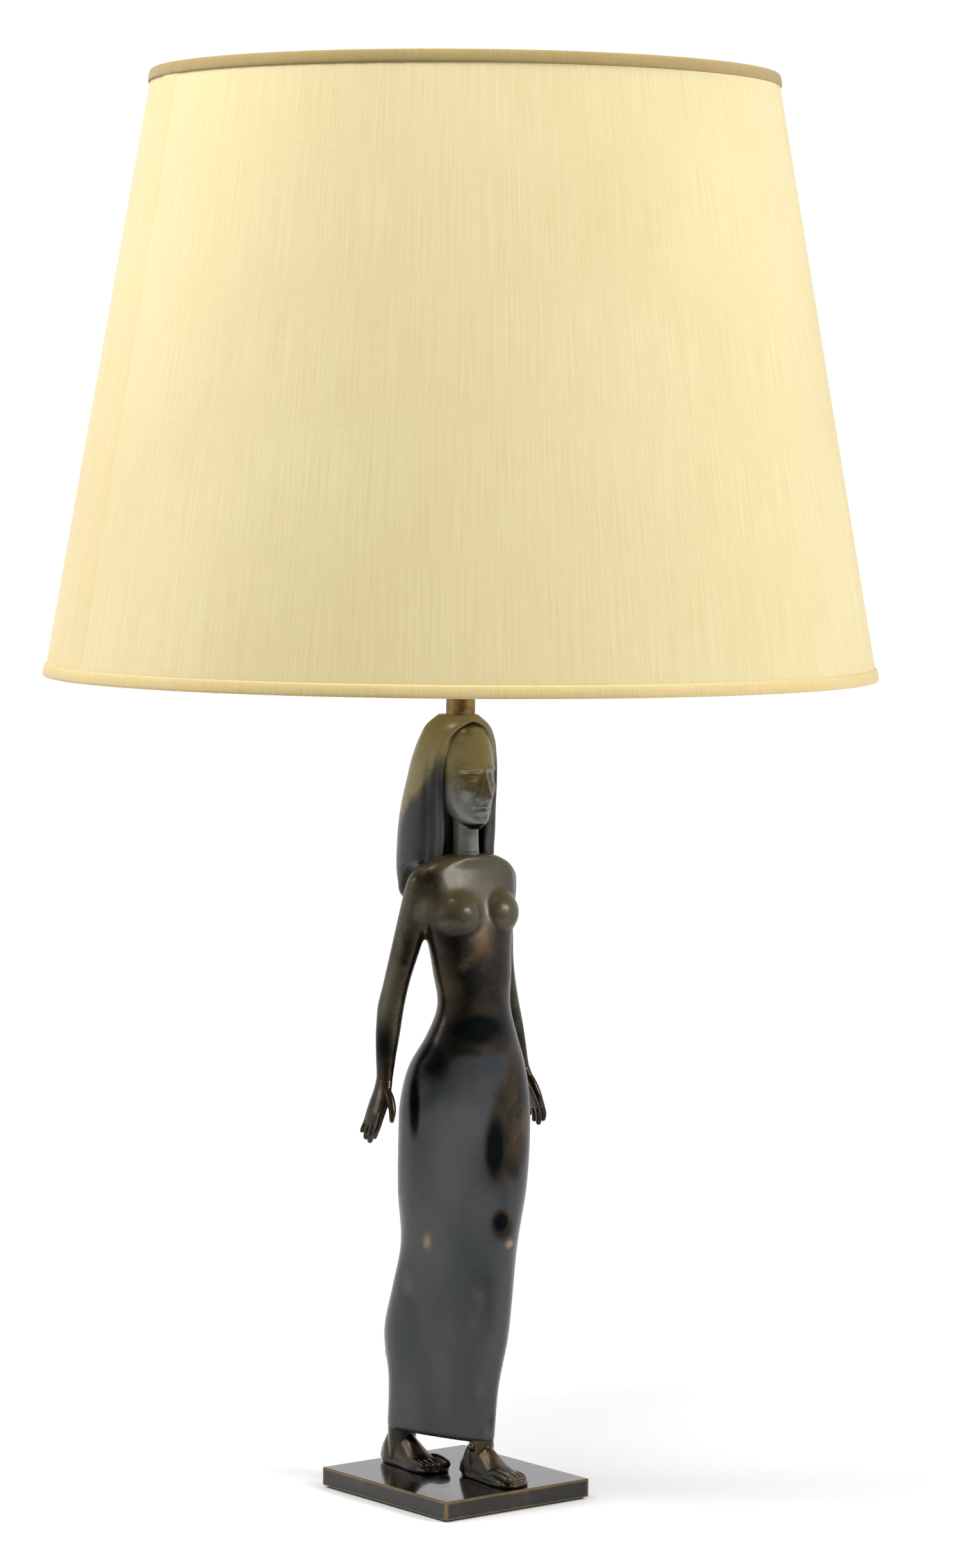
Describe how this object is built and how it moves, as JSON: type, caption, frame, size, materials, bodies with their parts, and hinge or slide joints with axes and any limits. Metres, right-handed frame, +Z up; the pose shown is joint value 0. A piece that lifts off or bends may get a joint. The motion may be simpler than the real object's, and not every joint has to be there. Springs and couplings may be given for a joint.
{
  "type": "figural table lamp",
  "caption": "Table lamp: a cast bronze standing figure on a flat plate carries a lampholder, a harp and a tapered fabric shade.",
  "frame": {"origin": "middle of the underside of the felt under the base plate", "axes": "+Z up along the lamp axis; the figure faces -Y; her left hand is on +X"},
  "size_m": [0.4015, 0.4016, 0.692],
  "materials": {
    "bronze_plate": "dark polished patina",
    "felt": "felt",
    "steel_screw": "zinc plated",
    "patinated_bronze": "waxed dark brown patina, rubbed golden on edges",
    "brass_fitting": "lacquered",
    "aged_brass_collar": "aged brown brass",
    "brass_wire": "satin",
    "fibre_liner": "pressed fibre",
    "moulding": "moulded phenolic",
    "aluminium_shell": "rolled thread",
    "knob": "moulded",
    "solder": "tinned",
    "frosted_glass": "inside frosted",
    "silk": "cream silk on a stiff backing",
    "silk_trim": "rolled self fabric",
    "frame_wire": "painted wire"
  },
  "bodies": {
    "root": {"base_plate": "bronze_plate", "base_felt": "felt", "foot_screws": "steel_screw", "foot_left": "patinated_bronze", "foot_right": "patinated_bronze", "torso_skirt": "patinated_bronze", "arm_left": "patinated_bronze", "arm_right": "patinated_bronze", "head": "patinated_bronze", "hair": "patinated_bronze", "cord_inlet_bush": "brass_fitting", "lamp_nipple": "brass_fitting", "neck_collar": "aged_brass_collar", "lock_nut": "brass_fitting", "harp_saddle": "brass_fitting", "harp": "brass_wire", "lampholder_cap": "brass_fitting", "lampholder_shell": "brass_fitting", "lampholder_liner": "fibre_liner", "lampholder_moulding": "moulding", "terminal_screws": "brass_fitting", "screw_shell": "aluminium_shell", "centre_contact": "brass_fitting"},
    "harp_sleeve_left": {"harp_sleeve_left": "brass_fitting"},
    "harp_sleeve_right": {"harp_sleeve_right": "brass_fitting"},
    "switch_key": {"switch_shaft": "steel_screw", "switch_knob": "knob"},
    "bulb_tip": {"bulb_tip": "solder"},
    "bulb": {"bulb_cap": "aluminium_shell", "bulb_glass": "frosted_glass"},
    "shade": {"shade_panel": "silk", "shade_bottom_trim": "silk_trim", "shade_top_trim": "silk_trim", "shade_bottom_ring": "frame_wire", "shade_top_ring": "frame_wire", "shade_spider": "frame_wire"},
    "finial_seat": {"finial_seat": "brass_fitting"},
    "finial": {"finial_knob": "brass_fitting"}
  },
  "joints": [
    {"name": "shade_turn", "type": "hinge", "parent": "root", "child": "shade", "pos_m": [0, 0, 0.673], "axis": [0, 0, 1], "continuous": true},
    {"name": "switch_turn", "type": "hinge", "parent": "root", "child": "switch_key", "pos_m": [0, 0.02, 0.443], "axis": [0, 1, 0], "continuous": true},
    {"name": "sleeve_lift_left", "type": "slide", "parent": "root", "child": "harp_sleeve_left", "axis": [0, 0, 1], "range_m": [0, 0.02]},
    {"name": "sleeve_lift_right", "type": "slide", "parent": "root", "child": "harp_sleeve_right", "axis": [0, 0, 1], "range_m": [0, 0.02]},
    {"name": "bulb_rise", "type": "slide", "parent": "root", "child": "bulb_tip", "axis": [0, 0, 1], "range_m": [0, 0.02]},
    {"name": "bulb_turn", "type": "hinge", "parent": "bulb_tip", "child": "bulb", "pos_m": [0, 0, 0.455], "axis": [0, 0, 1], "range_deg": [0, 1980]},
    {"name": "finial_rise", "type": "slide", "parent": "root", "child": "finial_seat", "axis": [0, 0, 1], "range_m": [0, 0.0112]},
    {"name": "finial_turn", "type": "hinge", "parent": "finial_seat", "child": "finial", "pos_m": [0, 0, 0.68], "axis": [0, 0, 1], "range_deg": [0, 3960]}
  ],
  "couplings": [
    {"joint": "bulb_rise", "follows": "bulb_turn", "m_per_rad": 0.000577},
    {"joint": "finial_rise", "follows": "finial_turn", "m_per_rad": 0.000159}
  ]
}
